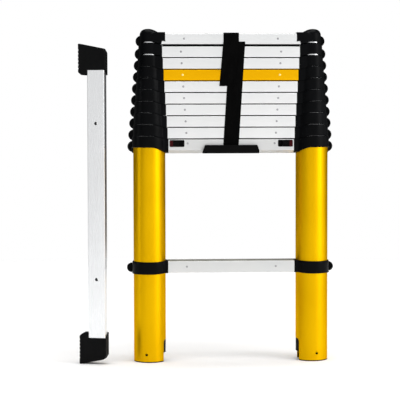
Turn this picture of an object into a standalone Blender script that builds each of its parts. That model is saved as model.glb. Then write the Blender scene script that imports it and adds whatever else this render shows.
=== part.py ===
"""Telescopic ladder, closed, with its loose stabiliser bar standing beside it.

Metres, +Z up, the ladder's front faces -Y. The origin is on the floor, at the middle of the
set's box. Ten nested tube sections are numbered from the outer, yellow one (1) to the thinnest (10).
"""
import math

import bmesh
import bpy
from mathutils import Matrix

MM = 0.001
GAP = 0.3 * MM                      # clearance between touching pieces

# Where the set stands: these put the middle of its box on the origin.
LADDER_X = 59.53 * MM
LADDER_Y = 7.1 * MM

# Stiles: nested round tubes
SECTIONS = 10
STILE_X = 201.0 * MM                # stile axis to the ladder's middle
STILE_R = 39.5 * MM                 # outer radius of section 1
STILE_STEP = 2.1 * MM               # each section is this much smaller in radius
STILE_WALL = 1.25 * MM
STILE_LENGTH = 440.0 * MM           # sections 2 to 10
STILE_SIDES = 24

# Collars and rungs
PITCH = 28.4 * MM                   # closed stack, rung to rung
TOP_PITCH = 31.6 * MM               # from section 9's rung to the top one
RUNG_HEIGHT = 26.1 * MM
RUNG_DEPTH = 48.0 * MM
RUNG_WALL = 1.7 * MM
RUNG_CORNER = 4.0 * MM
BUTTON_RUNG_TOP = 547.6 * MM
BUTTON_RUNG_HEIGHT = 34.2 * MM
BUTTON_RUNG_CHAMFER = 8.0 * MM
LOWER_RUNG_TOP = 248.2 * MM
LOWER_RUNG_HEIGHT = 28.2 * MM
COLLAR_WALL = 3.2 * MM
COLLAR_LIP = 1.2 * MM               # a collar stands this far above its rung's top
COLLAR_FLANGE = 5.0 * MM            # thickness of the guide ring at a collar's top
COLLAR_REACH = 6.9 * MM             # section 1's tube surface to the face that meets the rung
COLLAR_REACH_STEP = 0.26 * MM       # each section's collar reaches this much further
LOWER_COLLAR_REACH = 5.5 * MM
CAP_REACH = 19.0 * MM
RUNNING_GAP = 0.45 * MM             # guide ring to the tube that slides in it
ARCH_RISE = 7.0 * MM
LAST_NESTED = 7                     # collars up to this one rise into the arch above them
BASE_ARCH_RISE = 14.0 * MM
ARCH_OVERHANG = 3.0 * MM            # clears the wider collar below
LUG_R = 14.0 * MM
LUG_REACH = 14.2 * MM               # section 1's tube surface to its lug's tip
LUG_REACH_STEP = 0.23 * MM          # each section's lug reaches this much less
LUG_THICK = 12.0 * MM
LUG_BEHIND = 0.45                   # lug's distance behind the axis, in tube radii
LUG_DROP = 4.5 * MM                 # lug's centre below the rung's centre
CAP_TOP = 3.4 * MM                  # cap's flat top above the top rung
CAP_DOME = 9.0 * MM

# Feet
PLUG_LOW = 23.2 * MM
PLUG_HIGH = 62.0 * MM
BOSS_LOW = 22.0 * MM
NOTCH_WIDTH = 42.0 * MM
NOTCH_HEIGHT = 54.0 * MM
NOTCH_DEPTH = 14.0 * MM
BOSS_SINK = 0.6 * MM                # the plug fills the notch to this far below the tube's surface
FOOT_HOLE_R = 3.2 * MM
FOOT_HOLE_Z = 19.5 * MM
FOOT_HOLE_OUT = 8.7 * MM            # hole axis, outboard of the stile's axis

# Release buttons
WINDOW_FROM_END = 4.0 * MM
WINDOW_LENGTH = 36.0 * MM
WINDOW_HEIGHT = 15.5 * MM
WINDOW_BELOW_TOP = 2.6 * MM
BUTTON_TRAVEL = 11.0 * MM
BUTTON_PROUD = 2.6 * MM
BUTTON_FLANGE = 2.5 * MM

# Carry handle and closure strap
HANDLE_LENGTH_LOW = 140.4 * MM
HANDLE_LENGTH_HIGH = 127.4 * MM
HANDLE_HEIGHT = 20.3 * MM
HANDLE_TO_LEFT = 2.3 * MM           # its middle, from the ladder's
HANDLE_DEPTH = 13.0 * MM
STRAP_WIDTH = 38.0 * MM
STRAP_THICK = 2.4 * MM
STRAP_SLOT = 4.5 * MM
STRAP_TAIL = 17.0 * MM              # how far it hangs behind the top rung

# Stabiliser bar
BAR_X = -328.5 * MM                 # from the ladder's middle
BAR_Y = -38.0 * MM
BAR_YAW = math.radians(-14.7)
BAR_LENGTH = 780.5 * MM             # over its boots
BAR_WIDTH = 42.6 * MM
BAR_DEPTH = 22.0 * MM
BAR_WALL = 1.8 * MM
BAR_END = 22.0 * MM                 # boot tip to the bar's cut end
BAR_HOLE_R = 4.0 * MM
BAR_HOLE_SPACING = 380.0 * MM
BAR_HOLE_RISE = 6.9 * MM            # middle of the two holes above the bar's middle
BOOT_WALL = 2.0 * MM
FOOT_BLOCK = 22.0 * MM              # how far a boot's foot stands out of the bar

YELLOW = (0.80, 0.45, 0.010, 1.0)
ALUMINIUM = (0.78, 0.79, 0.80, 1.0)
BLACK = (0.012, 0.012, 0.013, 1.0)


# ---------------------------------------------------------------- helpers

def clear_scene():
    for obj in list(bpy.data.objects):
        bpy.data.objects.remove(obj, do_unlink=True)


def new_collection(name):
    collection = bpy.data.collections.new(name)
    bpy.context.scene.collection.children.link(collection)
    return collection


clear_scene()
PARTS = new_collection("telescopic_ladder")
CUTTERS = new_collection("cutters")


def make_material(name, colour, roughness, metallic):
    material = bpy.data.materials.new(name)
    material.use_nodes = True
    shader = material.node_tree.nodes["Principled BSDF"]
    shader.inputs["Base Color"].default_value = colour
    shader.inputs["Roughness"].default_value = roughness
    shader.inputs["Metallic"].default_value = metallic
    return material


def yellow_coat(name):
    return make_material(name, YELLOW, 0.32, 0.85)


def bare_aluminium(name):
    return make_material(name, ALUMINIUM, 0.38, 1.0)


def black_plastic(name):
    return make_material(name, BLACK, 0.45, 0.0)


def black_rubber(name):
    return make_material(name, BLACK, 0.75, 0.0)


def black_webbing(name):
    return make_material(name, BLACK, 0.90, 0.0)


def add_empty(name, location, parent=None):
    """The frame of one moving body: its pieces are parented here."""
    empty = bpy.data.objects.new(name, None)
    empty.location = location
    empty.parent = parent
    PARTS.objects.link(empty)
    return empty


def move_to(obj, collection):
    for old in list(obj.users_collection):
        old.objects.unlink(obj)
    collection.objects.link(obj)


def as_part(obj, parent, location, material_of):
    """Files a solid as a named sub-part, placed in its body's frame."""
    move_to(obj, PARTS)
    obj.parent = parent
    obj.location = location
    obj.data.materials.append(material_of(obj.name))
    obj.data.shade_smooth()
    obj.data.set_sharp_from_angle(angle=math.radians(30))
    return obj


def as_tool(tool, owner, operation, location=(0.0, 0.0, 0.0)):
    """Cuts a tool out of its owner, or joins it on. location is in the owner's frame."""
    move_to(tool, CUTTERS)
    tool.parent = owner
    tool.location = location
    tool.hide_render = True
    tool.display_type = "WIRE"
    boolean = owner.modifiers.new(tool.name, "BOOLEAN")
    boolean.operation = operation
    boolean.solver = "EXACT"
    boolean.object = tool


def mesh_from(obj):
    """Replaces a curve, or an object with modifiers, by its own closed mesh."""
    graph = bpy.context.evaluated_depsgraph_get()
    mesh = bpy.data.meshes.new_from_object(obj.evaluated_get(graph))
    work = bmesh.new()
    work.from_mesh(mesh)
    bmesh.ops.remove_doubles(work, verts=work.verts, dist=0.01 * MM)
    bmesh.ops.recalc_face_normals(work, faces=work.faces)
    work.to_mesh(mesh)
    work.free()
    solid = bpy.data.objects.new(obj.name, mesh)
    solid.matrix_world = obj.matrix_world
    name = obj.name
    bpy.data.objects.remove(obj, do_unlink=True)
    solid.name = name
    bpy.context.scene.collection.objects.link(solid)
    return solid


def plate(name, loops, low, high):
    """A flat outline in XY, with its inner loops as holes, raised from low to high in Z."""
    curve = bpy.data.curves.new(name, "CURVE")
    curve.dimensions = "2D"
    curve.fill_mode = "BOTH"
    curve.extrude = (high - low) / 2
    for loop in loops:
        spline = curve.splines.new("POLY")
        spline.points.add(len(loop) - 1)
        for point, (x, y) in zip(spline.points, loop):
            point.co = (x, y, 0.0, 1.0)
        spline.use_cyclic_u = True
    obj = bpy.data.objects.new(name, curve)
    bpy.context.scene.collection.objects.link(obj)
    bpy.context.view_layer.update()
    solid = mesh_from(obj)
    solid.data.transform(Matrix.Translation((0.0, 0.0, (low + high) / 2)))
    return solid


def turn_mesh(obj, axis, degrees):
    obj.data.transform(Matrix.Rotation(math.radians(degrees), 4, axis))


def across(name, loops, low, high):
    """An outline in YZ, run along X from low to high."""
    solid = plate(name, loops, low, high)
    turn_mesh(solid, "X", 90)
    turn_mesh(solid, "Z", 90)
    return solid


def upright(name, loops, front, back):
    """An outline in XZ, run along Y from front to back."""
    solid = plate(name, loops, -back, -front)
    turn_mesh(solid, "X", 90)
    return solid


def turned(name, profile, sides):
    """A profile of (radius, height) points, down its outer side, turned about Z."""
    mesh = bpy.data.meshes.new(name)
    edges = [(i, (i + 1) % len(profile)) for i in range(len(profile))]
    if profile[0][0] == 0.0:
        edges = edges[:-1]
    mesh.from_pydata([(r, 0.0, z) for r, z in profile], edges, [])
    obj = bpy.data.objects.new(name, mesh)
    bpy.context.scene.collection.objects.link(obj)
    screw = obj.modifiers.new("turn", "SCREW")
    screw.steps = sides
    screw.render_steps = sides
    screw.use_merge_vertices = True
    screw.merge_threshold = 0.00001
    bpy.context.view_layer.update()
    return mesh_from(obj)


def rod(name, radius, length, axis, sides=16):
    """A round bar, centred on its own origin."""
    mesh = bpy.data.meshes.new(name)
    work = bmesh.new()
    bmesh.ops.create_cone(
        work, cap_ends=True, segments=sides, radius1=radius, radius2=radius, depth=length)
    work.to_mesh(mesh)
    work.free()
    obj = bpy.data.objects.new(name, mesh)
    if axis == "Y":
        turn_mesh(obj, "X", 90)
    if axis == "X":
        turn_mesh(obj, "Y", 90)
    bpy.context.scene.collection.objects.link(obj)
    return obj


def block(name, size):
    """A box, centred on its own origin."""
    mesh = bpy.data.meshes.new(name)
    work = bmesh.new()
    bmesh.ops.create_cube(work, size=1.0)
    bmesh.ops.scale(work, vec=size, verts=work.verts)
    work.to_mesh(mesh)
    work.free()
    obj = bpy.data.objects.new(name, mesh)
    bpy.context.scene.collection.objects.link(obj)
    return obj


def circle(radius, sides=STILE_SIDES):
    step = 2 * math.pi / sides
    return [(radius * math.cos(i * step), radius * math.sin(i * step)) for i in range(sides)]


def arc(centre, radius, start, end, steps):
    """Points on an arc, in degrees, both ends included."""
    angles = [math.radians(start + (end - start) * i / steps) for i in range(steps + 1)]
    return [(centre[0] + radius * math.cos(a), centre[1] + radius * math.sin(a)) for a in angles]


def rounded_box(width, height, corner, chamfer=0.0):
    """Outline about (0, 0). chamfer cuts the lower left corner instead of rounding it."""
    x = width / 2 - corner
    y = height / 2 - corner
    points = arc((x, y), corner, 0, 90, 3) + arc((-x, y), corner, 90, 180, 3)
    if chamfer:
        points += [(-width / 2, chamfer - height / 2), (chamfer - width / 2, -height / 2)]
    else:
        points += arc((-x, -y), corner, 180, 270, 3)
    return points + arc((x, -y), corner, 270, 360, 3)


# ---------------------------------------------------------------- places

def stile_radius(section):
    return STILE_R - STILE_STEP * (section - 1)


def pitch(section):
    """Rung to rung, from the section below to this one."""
    return TOP_PITCH if section == SECTIONS else PITCH


def rung_top(section):
    return BUTTON_RUNG_TOP + sum(pitch(k) for k in range(2, section + 1))


def collar_reach(section):
    if section == SECTIONS:
        return CAP_REACH
    return COLLAR_REACH + COLLAR_REACH_STEP * (section - 1)


def rung_end(radius, reach):
    """Half the length of a rung between two collars."""
    return STILE_X - radius - reach - GAP


def section_rung_end(section):
    return rung_end(stile_radius(section), collar_reach(section))


def side_name(side):
    return "left" if side < 0 else "right"


# ---------------------------------------------------------------- stiles

def build_outer_stile(side, base):
    """The yellow tube with its foot plug, foot bolt hole and inner notch."""
    name = "stile_" + side_name(side) + "_01"
    top = rung_top(1) + COLLAR_LIP - COLLAR_FLANGE - GAP
    bore = STILE_R - STILE_WALL
    stile = plate(name, [circle(STILE_R), circle(bore)], 0.0, top)
    plug = plate(name + "_plug", [circle(bore + STILE_WALL / 2)], PLUG_LOW, PLUG_HIGH)
    as_tool(plug, stile, "UNION")
    notch = block(name + "_notch", (NOTCH_DEPTH, NOTCH_WIDTH, NOTCH_HEIGHT * 2))
    as_tool(notch, stile, "DIFFERENCE", (-side * STILE_R, 0.0, 0.0))
    boss = plate(name + "_boss", [boss_outline(side)], BOSS_LOW, NOTCH_HEIGHT + MM)
    as_tool(boss, stile, "UNION")
    hole = rod(name + "_hole", FOOT_HOLE_R, STILE_R * 3, "Y", 12)
    as_tool(hole, stile, "DIFFERENCE", (side * FOOT_HOLE_OUT, 0.0, FOOT_HOLE_Z))
    as_part(stile, base, (side * STILE_X, 0.0, 0.0), yellow_coat)


def boss_outline(side):
    """The part of the foot plug that stands in the notch."""
    half_angle = math.degrees(math.asin(NOTCH_WIDTH / 2 / STILE_R)) - 1
    points = arc((0.0, 0.0), STILE_R - BOSS_SINK, -half_angle, half_angle, 6)
    inside = STILE_R - NOTCH_DEPTH
    points += [(inside, points[-1][1]), (inside, points[0][1])]
    return [(-side * x, y) for x, y in points]


def build_inner_stile(section, side, body):
    name = "stile_%s_%02d" % (side_name(side), section)
    radius = stile_radius(section)
    top = COLLAR_LIP - COLLAR_FLANGE - GAP
    stile = plate(name, [circle(radius), circle(radius - STILE_WALL)], top - STILE_LENGTH, top)
    as_part(stile, body, (side * STILE_X, 0.0, 0.0), bare_aluminium)


# ---------------------------------------------------------------- collars

def collar_name(section, side):
    if section == SECTIONS:
        return "cap_" + side_name(side)
    return "collar_%s_%02d" % (side_name(side), section)


def collar_outline(radius, reach, side):
    """Round about the stile, square towards the rung."""
    outer = radius + COLLAR_WALL
    half = min(RUNG_DEPTH / 2, outer * 0.999)
    start = math.degrees(math.asin(half / outer))
    face = radius + reach
    points = arc((0.0, 0.0), outer, start, 360 - start, 20)
    points += [(face, -half), (face, half)]
    return [(-side * x, y) for x, y in points]


def arch_curve(half_width, rise, bottom):
    """A shallow arc from +X to -X that stands on Z bottom."""
    radius = (half_width ** 2 + rise ** 2) / (2 * rise)
    sweep = math.degrees(math.asin(half_width / radius))
    return arc((0.0, bottom + rise - radius), radius, 90 - sweep, 90 + sweep, 8)


def below_arch(half_width, rise, bottom):
    """Cuts an arch up into a collar's lower edge, and its lug where it hangs under the collar."""
    wide = half_width + ARCH_OVERHANG
    deep = bottom - 2 * ARCH_OVERHANG
    ends = [(-wide, bottom), (-wide, deep), (wide, deep), (wide, bottom)]
    return arch_curve(half_width, rise, bottom) + ends


def above_arch(half_width, rise, bottom):
    """Trims a collar's upper edge to the arch of the collar above it."""
    wide = STILE_R * 2
    high = bottom + rise + COLLAR_WALL
    ends = [(-wide, bottom), (-wide, high), (wide, high), (wide, bottom)]
    return arch_curve(half_width, rise, bottom) + ends


def cut_through(collar, name, outline):
    """Cuts an outline in XZ through the whole collar, front to back."""
    tool = upright(collar.name + name, [outline], -STILE_R * 2, STILE_R * 2)
    as_tool(tool, collar, "DIFFERENCE")


def add_lug(collar, radius, reach, side, height):
    lug = rod(collar.name + "_lug", LUG_R, LUG_THICK, "Y")
    place = (side * (radius + reach - LUG_R), LUG_BEHIND * radius, height)
    as_tool(lug, collar, "UNION", place)


def build_collar(section, side, body, height):
    """A collar's frame has its rung's top at Z 0. height runs down from there."""
    name = collar_name(section, side)
    radius = stile_radius(section)
    closed = section == SECTIONS
    nested = section <= LAST_NESTED
    edge = CAP_TOP if closed else COLLAR_LIP
    top = edge + ARCH_RISE if nested else edge
    bottom = COLLAR_LIP - height
    collar = plate(name, [collar_outline(radius, collar_reach(section), side)], bottom, top)
    lug_reach = LUG_REACH - LUG_REACH_STEP * (section - 1)
    add_lug(collar, radius, lug_reach, side, -RUNG_HEIGHT / 2 - LUG_DROP)
    if closed:
        add_dome(collar, radius + COLLAR_WALL, top)
    rise = BASE_ARCH_RISE if section == 1 else ARCH_RISE
    cut_through(collar, "_arch", below_arch(radius + COLLAR_WALL, rise, bottom))
    if nested:
        half_width_above = stile_radius(section + 1) + COLLAR_WALL
        cut_through(collar, "_crest", above_arch(half_width_above, ARCH_RISE, edge))
    socket = radius + GAP
    guide = stile_radius(section + 1) + RUNNING_GAP
    shoulder = COLLAR_LIP - COLLAR_FLANGE
    profile = [(socket, shoulder), (socket, bottom - MM), (0.0, bottom - MM)]
    if closed:
        profile = [(0.0, shoulder)] + profile
    else:
        profile = [(0.0, top + MM), (guide, top + MM), (guide, shoulder)] + profile
    as_tool(turned(name + "_bore", profile, STILE_SIDES), collar, "DIFFERENCE")
    as_part(collar, body, (side * STILE_X, 0.0, 0.0), black_plastic)


def add_dome(collar, radius, top):
    sphere = (radius ** 2 + CAP_DOME ** 2) / (2 * CAP_DOME)
    low = math.degrees(math.acos(radius / sphere))
    profile = arc((0.0, top + CAP_DOME - sphere), sphere, 90, low, 5)
    profile[0] = (0.0, top + CAP_DOME)
    profile += [(radius, top - MM), (0.0, top - MM)]
    as_tool(turned(collar.name + "_dome", profile, STILE_SIDES), collar, "UNION")


def build_lower_collar(side, base):
    """Clamped round the yellow tube, part way up."""
    name = "lower_collar_" + side_name(side)
    low = -LOWER_RUNG_HEIGHT - COLLAR_LIP / 2
    outline = collar_outline(STILE_R, LOWER_COLLAR_REACH, side)
    collar = plate(name, [outline], low, COLLAR_LIP / 2)
    add_lug(collar, STILE_R, LUG_REACH, side, -LOWER_RUNG_HEIGHT / 2)
    bore = rod(name + "_bore", STILE_R + GAP, PITCH * 2, "Z", STILE_SIDES)
    bore.data.transform(Matrix.Rotation(circle_phase(bore), 4, "Z"))
    as_tool(bore, collar, "DIFFERENCE", (0.0, 0.0, -LOWER_RUNG_HEIGHT / 2))
    as_part(collar, base, (side * STILE_X, 0.0, LOWER_RUNG_TOP), black_plastic)


def circle_phase(obj):
    """The turn that brings a rod's first corner onto +X, in line with the stile's corners."""
    corner = obj.data.vertices[0].co
    return -math.atan2(corner.y, corner.x)


# ---------------------------------------------------------------- rungs

def rung_loops(height, chamfer=0.0):
    inside = 2 * RUNG_WALL
    outer = rounded_box(RUNG_DEPTH, height, RUNG_CORNER, chamfer)
    inner_chamfer = chamfer - RUNG_WALL * 0.6 if chamfer else 0.0
    inner = rounded_box(
        RUNG_DEPTH - inside, height - inside, RUNG_CORNER - RUNG_WALL, inner_chamfer)
    return [outer, inner]


def build_rung(name, half_length, height, body, top, material_of):
    rung = across(name, rung_loops(height), -half_length, half_length)
    as_part(rung, body, (0.0, 0.0, top - height / 2), material_of)


def window_middle(side):
    return side * (section_rung_end(1) - WINDOW_FROM_END - WINDOW_LENGTH / 2)


def window_height():
    return -WINDOW_BELOW_TOP - WINDOW_HEIGHT / 2


def build_button_rung(base):
    """The deeper rung with a window for a release button near each end."""
    loops = rung_loops(BUTTON_RUNG_HEIGHT, BUTTON_RUNG_CHAMFER)
    end = section_rung_end(1)
    rung = across("button_rung", loops, -end, end)
    for side in (-1, 1):
        window = block("window_" + side_name(side), (WINDOW_LENGTH, RUNG_WALL * 4, WINDOW_HEIGHT))
        height = window_height() + BUTTON_RUNG_HEIGHT / 2
        as_tool(window, rung, "DIFFERENCE", (window_middle(side), -RUNG_DEPTH / 2, height))
    middle = rung_top(1) - BUTTON_RUNG_HEIGHT / 2
    as_part(rung, base, (0.0, 0.0, middle), bare_aluminium)


def build_button(side, body):
    """Slides inward along its window. A flange behind the rung's wall holds it in."""
    length = WINDOW_LENGTH - BUTTON_TRAVEL - 2 * GAP
    outer = WINDOW_LENGTH / 2 - GAP
    half = length / 2
    shift = outer - half
    front = -RUNG_DEPTH / 2 - BUTTON_PROUD
    wall = -RUNG_DEPTH / 2 + RUNG_WALL + GAP
    outline = [
        (-half, front), (half, front), (half, wall), (half + BUTTON_FLANGE, wall),
        (half + BUTTON_FLANGE, wall + 2 * MM), (-half - BUTTON_FLANGE, wall + 2 * MM),
        (-half - BUTTON_FLANGE, wall), (-half, wall)]
    outline = [(x + side * shift, y) for x, y in outline]
    reach = WINDOW_HEIGHT / 2 - GAP
    button = plate("release_button_" + side_name(side), [outline], -reach, reach)
    as_part(button, body, (0.0, 0.0, 0.0), black_plastic)


# ---------------------------------------------------------------- handle and strap

def build_handle(base):
    """A tapered grip on the button rung's front, with a slot behind it for the strap."""
    low = HANDLE_LENGTH_LOW / 2
    high = HANDLE_LENGTH_HIGH / 2
    outline = [(-low, 0.0), (low, 0.0), (high, HANDLE_HEIGHT), (-high, HANDLE_HEIGHT)]
    handle = upright("carry_handle", [outline], -HANDLE_DEPTH, 0.0)
    slot = block("strap_slot", (STRAP_WIDTH + 6 * MM, STRAP_SLOT * 2, HANDLE_HEIGHT * 3))
    as_tool(slot, handle, "DIFFERENCE", (HANDLE_TO_LEFT, 0.0, 0.0))
    bottom = rung_top(1) - BUTTON_RUNG_HEIGHT
    as_part(handle, base, (-HANDLE_TO_LEFT, -RUNG_DEPTH / 2 - GAP, bottom), black_plastic)


def strap_outline():
    """Over the top rung, down its back, and down the front to the handle's slot."""
    half = RUNG_DEPTH / 2 - RUNG_CORNER
    inner = RUNG_CORNER + GAP
    outer = inner + STRAP_THICK
    low = rung_top(1) - BUTTON_RUNG_HEIGHT + HANDLE_HEIGHT / 2 - rung_top(SECTIONS)
    back_out = arc((half, -RUNG_CORNER), outer, 0, 90, 3)
    front_out = arc((-half, -RUNG_CORNER), outer, 90, 180, 3)
    front_in = arc((-half, -RUNG_CORNER), inner, 180, 90, 3)
    back_in = arc((half, -RUNG_CORNER), inner, 90, 0, 3)
    ends = [(-half - outer, low), (-half - inner, low)]
    tail = [(half + inner, -STRAP_TAIL), (half + outer, -STRAP_TAIL)]
    return back_out + front_out + ends + front_in + back_in + tail


def build_strap(body):
    strap = across("closure_strap", [strap_outline()], -STRAP_WIDTH / 2, STRAP_WIDTH / 2)
    as_part(strap, body, (0.0, 0.0, 0.0), black_webbing)


# ---------------------------------------------------------------- stabiliser bar

def boot_outline():
    """Seen from the front, foot to the left, tip on the floor, sole sloped."""
    foot = -BAR_WIDTH / 2 - FOOT_BLOCK
    far = BAR_WIDTH / 2 + GAP + BOOT_WALL
    near = -BAR_WIDTH / 2 - 2 * GAP
    return [
        (foot, 0.0), (foot + 4.5 * MM, 0.0), (far, 14 * MM), (far, 64 * MM),
        (near, 64 * MM), (near, 76 * MM), (foot + 10 * MM, 76 * MM), (foot, 66 * MM)]


def build_boot(name, frame, flip):
    half_depth = BAR_DEPTH / 2 + GAP + BOOT_WALL
    outline = [(x, BAR_LENGTH - z if flip else z) for x, z in boot_outline()]
    boot = upright(name, [outline], -half_depth, half_depth)
    pocket_size = (BAR_WIDTH + 2 * GAP, BAR_DEPTH + 2 * GAP, 100 * MM)
    pocket_z = BAR_END - GAP + 50 * MM
    pocket = block(name + "_pocket", pocket_size)
    as_tool(pocket, boot, "DIFFERENCE", (0.0, 0.0, BAR_LENGTH - pocket_z if flip else pocket_z))
    as_part(boot, frame, (0.0, 0.0, 0.0), black_rubber)


def build_bar(frame):
    outer = rounded_box(BAR_WIDTH, BAR_DEPTH, 1.5 * MM)
    inner = rounded_box(BAR_WIDTH - 2 * BAR_WALL, BAR_DEPTH - 2 * BAR_WALL, 0.5 * MM)
    bar = plate("stabiliser_bar", [outer, inner], BAR_END, BAR_LENGTH - BAR_END)
    for sign in (-1, 1):
        hole = rod("bar_hole_%d" % (sign + 2), BAR_HOLE_R, BAR_DEPTH * 2, "Y", 12)
        height = BAR_LENGTH / 2 + BAR_HOLE_RISE + sign * BAR_HOLE_SPACING / 2
        as_tool(hole, bar, "DIFFERENCE", (0.0, 0.0, height))
    as_part(bar, frame, (0.0, 0.0, 0.0), bare_aluminium)
    build_boot("bar_boot_lower", frame, False)
    build_boot("bar_boot_upper", frame, True)


# ---------------------------------------------------------------- the whole set

def build_base(ladder):
    """Section 1: the yellow tubes, the lower rung and the button rung."""
    top_frame = add_empty("base_top", (0.0, 0.0, rung_top(1)), ladder)
    for side in (-1, 1):
        build_outer_stile(side, ladder)
        build_lower_collar(side, ladder)
        height = BUTTON_RUNG_HEIGHT + COLLAR_LIP
        build_collar(1, side, top_frame, height)
        place = (window_middle(side), 0.0, window_height())
        release = add_empty("release_" + side_name(side), place, top_frame)
        build_button(side, release)
    lower_end = rung_end(STILE_R, LOWER_COLLAR_REACH)
    build_rung(
        "lower_rung", lower_end, LOWER_RUNG_HEIGHT, ladder, LOWER_RUNG_TOP, bare_aluminium)
    build_button_rung(ladder)
    build_handle(ladder)


def build_section(section, ladder):
    """A sliding section: two tubes, two collars and a rung. Its frame slides along Z."""
    body = add_empty("section_%02d" % section, (0.0, 0.0, rung_top(section)), ladder)
    for side in (-1, 1):
        build_inner_stile(section, side, body)
        build_collar(section, side, body, pitch(section) - GAP)
    yellow = section == 7
    name = "top_rung" if section == SECTIONS else "rung_%02d" % section
    material_of = yellow_coat if yellow else bare_aluminium
    build_rung(name, section_rung_end(section), RUNG_HEIGHT, body, 0.0, material_of)
    if section == SECTIONS:
        build_strap(body)


def main():
    ladder = add_empty("ladder", (LADDER_X, LADDER_Y, 0.0))
    build_base(ladder)
    for section in range(2, SECTIONS + 1):
        build_section(section, ladder)
    bar_frame = add_empty("bar_frame", (LADDER_X + BAR_X, LADDER_Y + BAR_Y, 0.0))
    bar_frame.rotation_euler = (0.0, 0.0, BAR_YAW)
    build_bar(bar_frame)


main()
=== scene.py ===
import math

import bmesh
import bpy
import numpy as np
from mathutils import Matrix, Vector


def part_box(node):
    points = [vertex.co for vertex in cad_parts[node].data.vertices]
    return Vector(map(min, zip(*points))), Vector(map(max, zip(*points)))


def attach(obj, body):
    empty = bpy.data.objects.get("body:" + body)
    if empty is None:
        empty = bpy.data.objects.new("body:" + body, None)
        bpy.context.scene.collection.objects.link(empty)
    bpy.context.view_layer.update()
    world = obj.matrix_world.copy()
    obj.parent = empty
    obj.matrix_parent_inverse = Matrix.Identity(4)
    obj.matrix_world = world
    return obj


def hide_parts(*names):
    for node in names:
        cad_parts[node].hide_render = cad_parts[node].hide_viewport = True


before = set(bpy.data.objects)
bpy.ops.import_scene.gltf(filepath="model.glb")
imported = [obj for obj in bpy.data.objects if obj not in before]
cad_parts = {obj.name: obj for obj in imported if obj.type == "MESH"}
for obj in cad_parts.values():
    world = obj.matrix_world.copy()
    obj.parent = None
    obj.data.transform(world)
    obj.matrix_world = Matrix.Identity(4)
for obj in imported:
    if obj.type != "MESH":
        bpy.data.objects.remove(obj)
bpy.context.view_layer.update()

MM = 0.001
SIDES = (-1, 1)  # -1 is the ladder's left as seen from the front
SECTIONS = 10
YELLOW_RUNG = 7

# Sizes that only the looks need
GAP = 0.3 * MM  # clearance that the CAD keeps between touching pieces
WELD = 0.005 * MM  # vertices closer than this become one
BEVEL_ANGLE = 32  # degrees; a sharper edge than this is bevelled
PAST = 6.0 * MM  # how far a cutter stands out of what it cuts

TUBE_WALL = 1.5 * MM
TUBE_SIDES = 96
FOOT_RIM = 2.4 * MM  # rubber that shows under a yellow tube
NOTCH = (42.0 * MM, 54.0 * MM)  # width and height of the cut in a yellow tube's inner side
NOTCH_DEPTH = 14.0 * MM
NOTCH_CORNER = 9.0 * MM
FOOT_HOLE_R = 3.2 * MM
FOOT_HOLE = (8.7 * MM, 19.5 * MM)  # outward of the tube's axis, and above the floor
PLUG_HALF = 20.4 * MM  # half the width of what the plug shows in the notch
PLUG = (22.0 * MM, 53.2 * MM)  # its lower and upper ends
PLUG_HOLLOW = (10.0 * MM, 34.0 * MM)
PLUG_FACE = 0.5 * MM  # it is set back from the tube's outside
PLUG_GROOVES = (-12.0, -4.0, 4.0, 12.0)  # mm from its middle

COLLAR_POINTS = 150  # round a collar's outline
COLLAR_WALL = 3.2 * MM
COLLAR_DEPTH = 48.0 * MM  # of the square part that meets the rung
COLLAR_LIP = 1.2 * MM  # a collar stands this far above its rung's top
COLLAR_FLANGE = 5.0 * MM
COLLAR_BORE = 0.15 * MM  # clearance round its own tube
GUIDE_GAP = 0.4 * MM  # and round the tube that slides through its top
GUIDE_ROUND = 0.8 * MM
EDGE_ROUND = 0.9 * MM
BEAD = 0.8 * MM
BEAD_TOP = (1.8 * MM, 2.5 * MM)  # heights between which the bead runs back to the wall
NESTED_RISE = 7.0 * MM  # a collar's edges are this much higher at its front
ARCH_RISE = {1: 14.5 * MM, 9: 8.8 * MM, 10: 10.4 * MM}  # lower edges that rise more
CREST_RISE = {8: 6.6 * MM, 9: 8.2 * MM}  # upper edges that leave a slit below the next arch
LUG_R = 13.8 * MM
LUG_THICK = 12.0 * MM
LUG_RIM = 1.8 * MM
LUG_BEHIND = 0.45  # behind the tube's axis, in tube radii
LUG_DROP = 4.5 * MM
LOWER_LUG = (11.5 * MM, 2.2 * MM, 4.0 * MM)  # radius, further out than the CAD's, drop
LOWER_SAG = (2.2 * MM, 1.4 * MM)  # how far a lower collar's edges dip at its front: below, above
CAP_WALL = 2.3 * MM
CAP_DEPTH = 51.0 * MM  # its square part covers the rung's end
CAP_TOP = 3.4 * MM  # its flat part stands this far above the top rung
CAP_DOME = 9.0 * MM  # apex above the flat part
CAP_SHOULDER = 9.3 * MM  # how far below the flat part its outer edge starts to round over
CAP_SADDLE = 25.0 * MM  # from the axis to where the dome has run out into the flat
CAP_STEP = 7.6 * MM  # its lower edge steps up this far over the end of the rung
CAP_STEP_FROM = 29.4 * MM  # distance of the step from the axis
CAP_STEP_RUN = 2.5 * MM

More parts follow.
